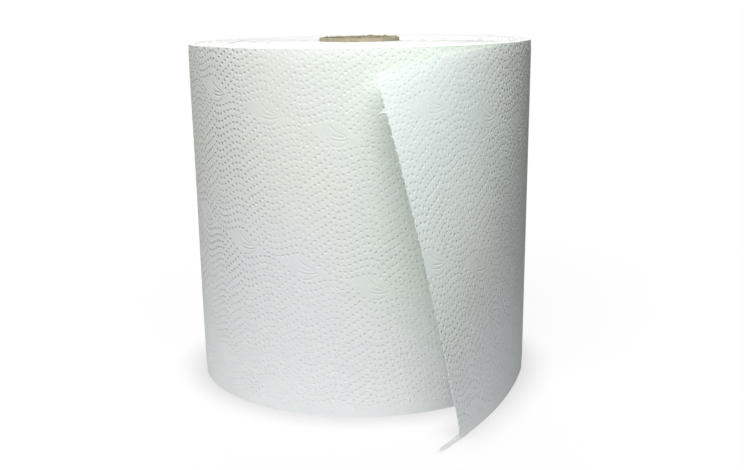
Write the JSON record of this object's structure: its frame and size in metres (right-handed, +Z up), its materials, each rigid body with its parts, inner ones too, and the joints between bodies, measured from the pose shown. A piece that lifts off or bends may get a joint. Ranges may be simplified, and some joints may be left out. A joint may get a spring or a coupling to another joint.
{
  "type": "paper towel roll",
  "caption": "Large embossed paper towel roll on a cardboard core, standing on its end, with its last sheet peeling away from the roll.",
  "frame": {"origin": "centre of the paper's lower end, on the core's axis, in the plane that the roll stands on", "axes": "+Z up along the core; the loose leaf peels off the +X side and reaches out towards -Y"},
  "size_m": [0.2594, 0.3206, 0.259],
  "materials": {
    "embossed_paper": "matte, embossed with small dots and sprigs",
    "brown_card": "matte"
  },
  "bodies": {
    "root": {"paper_web": "embossed_paper", "cardboard_core": "brown_card"}
  },
  "joints": []
}
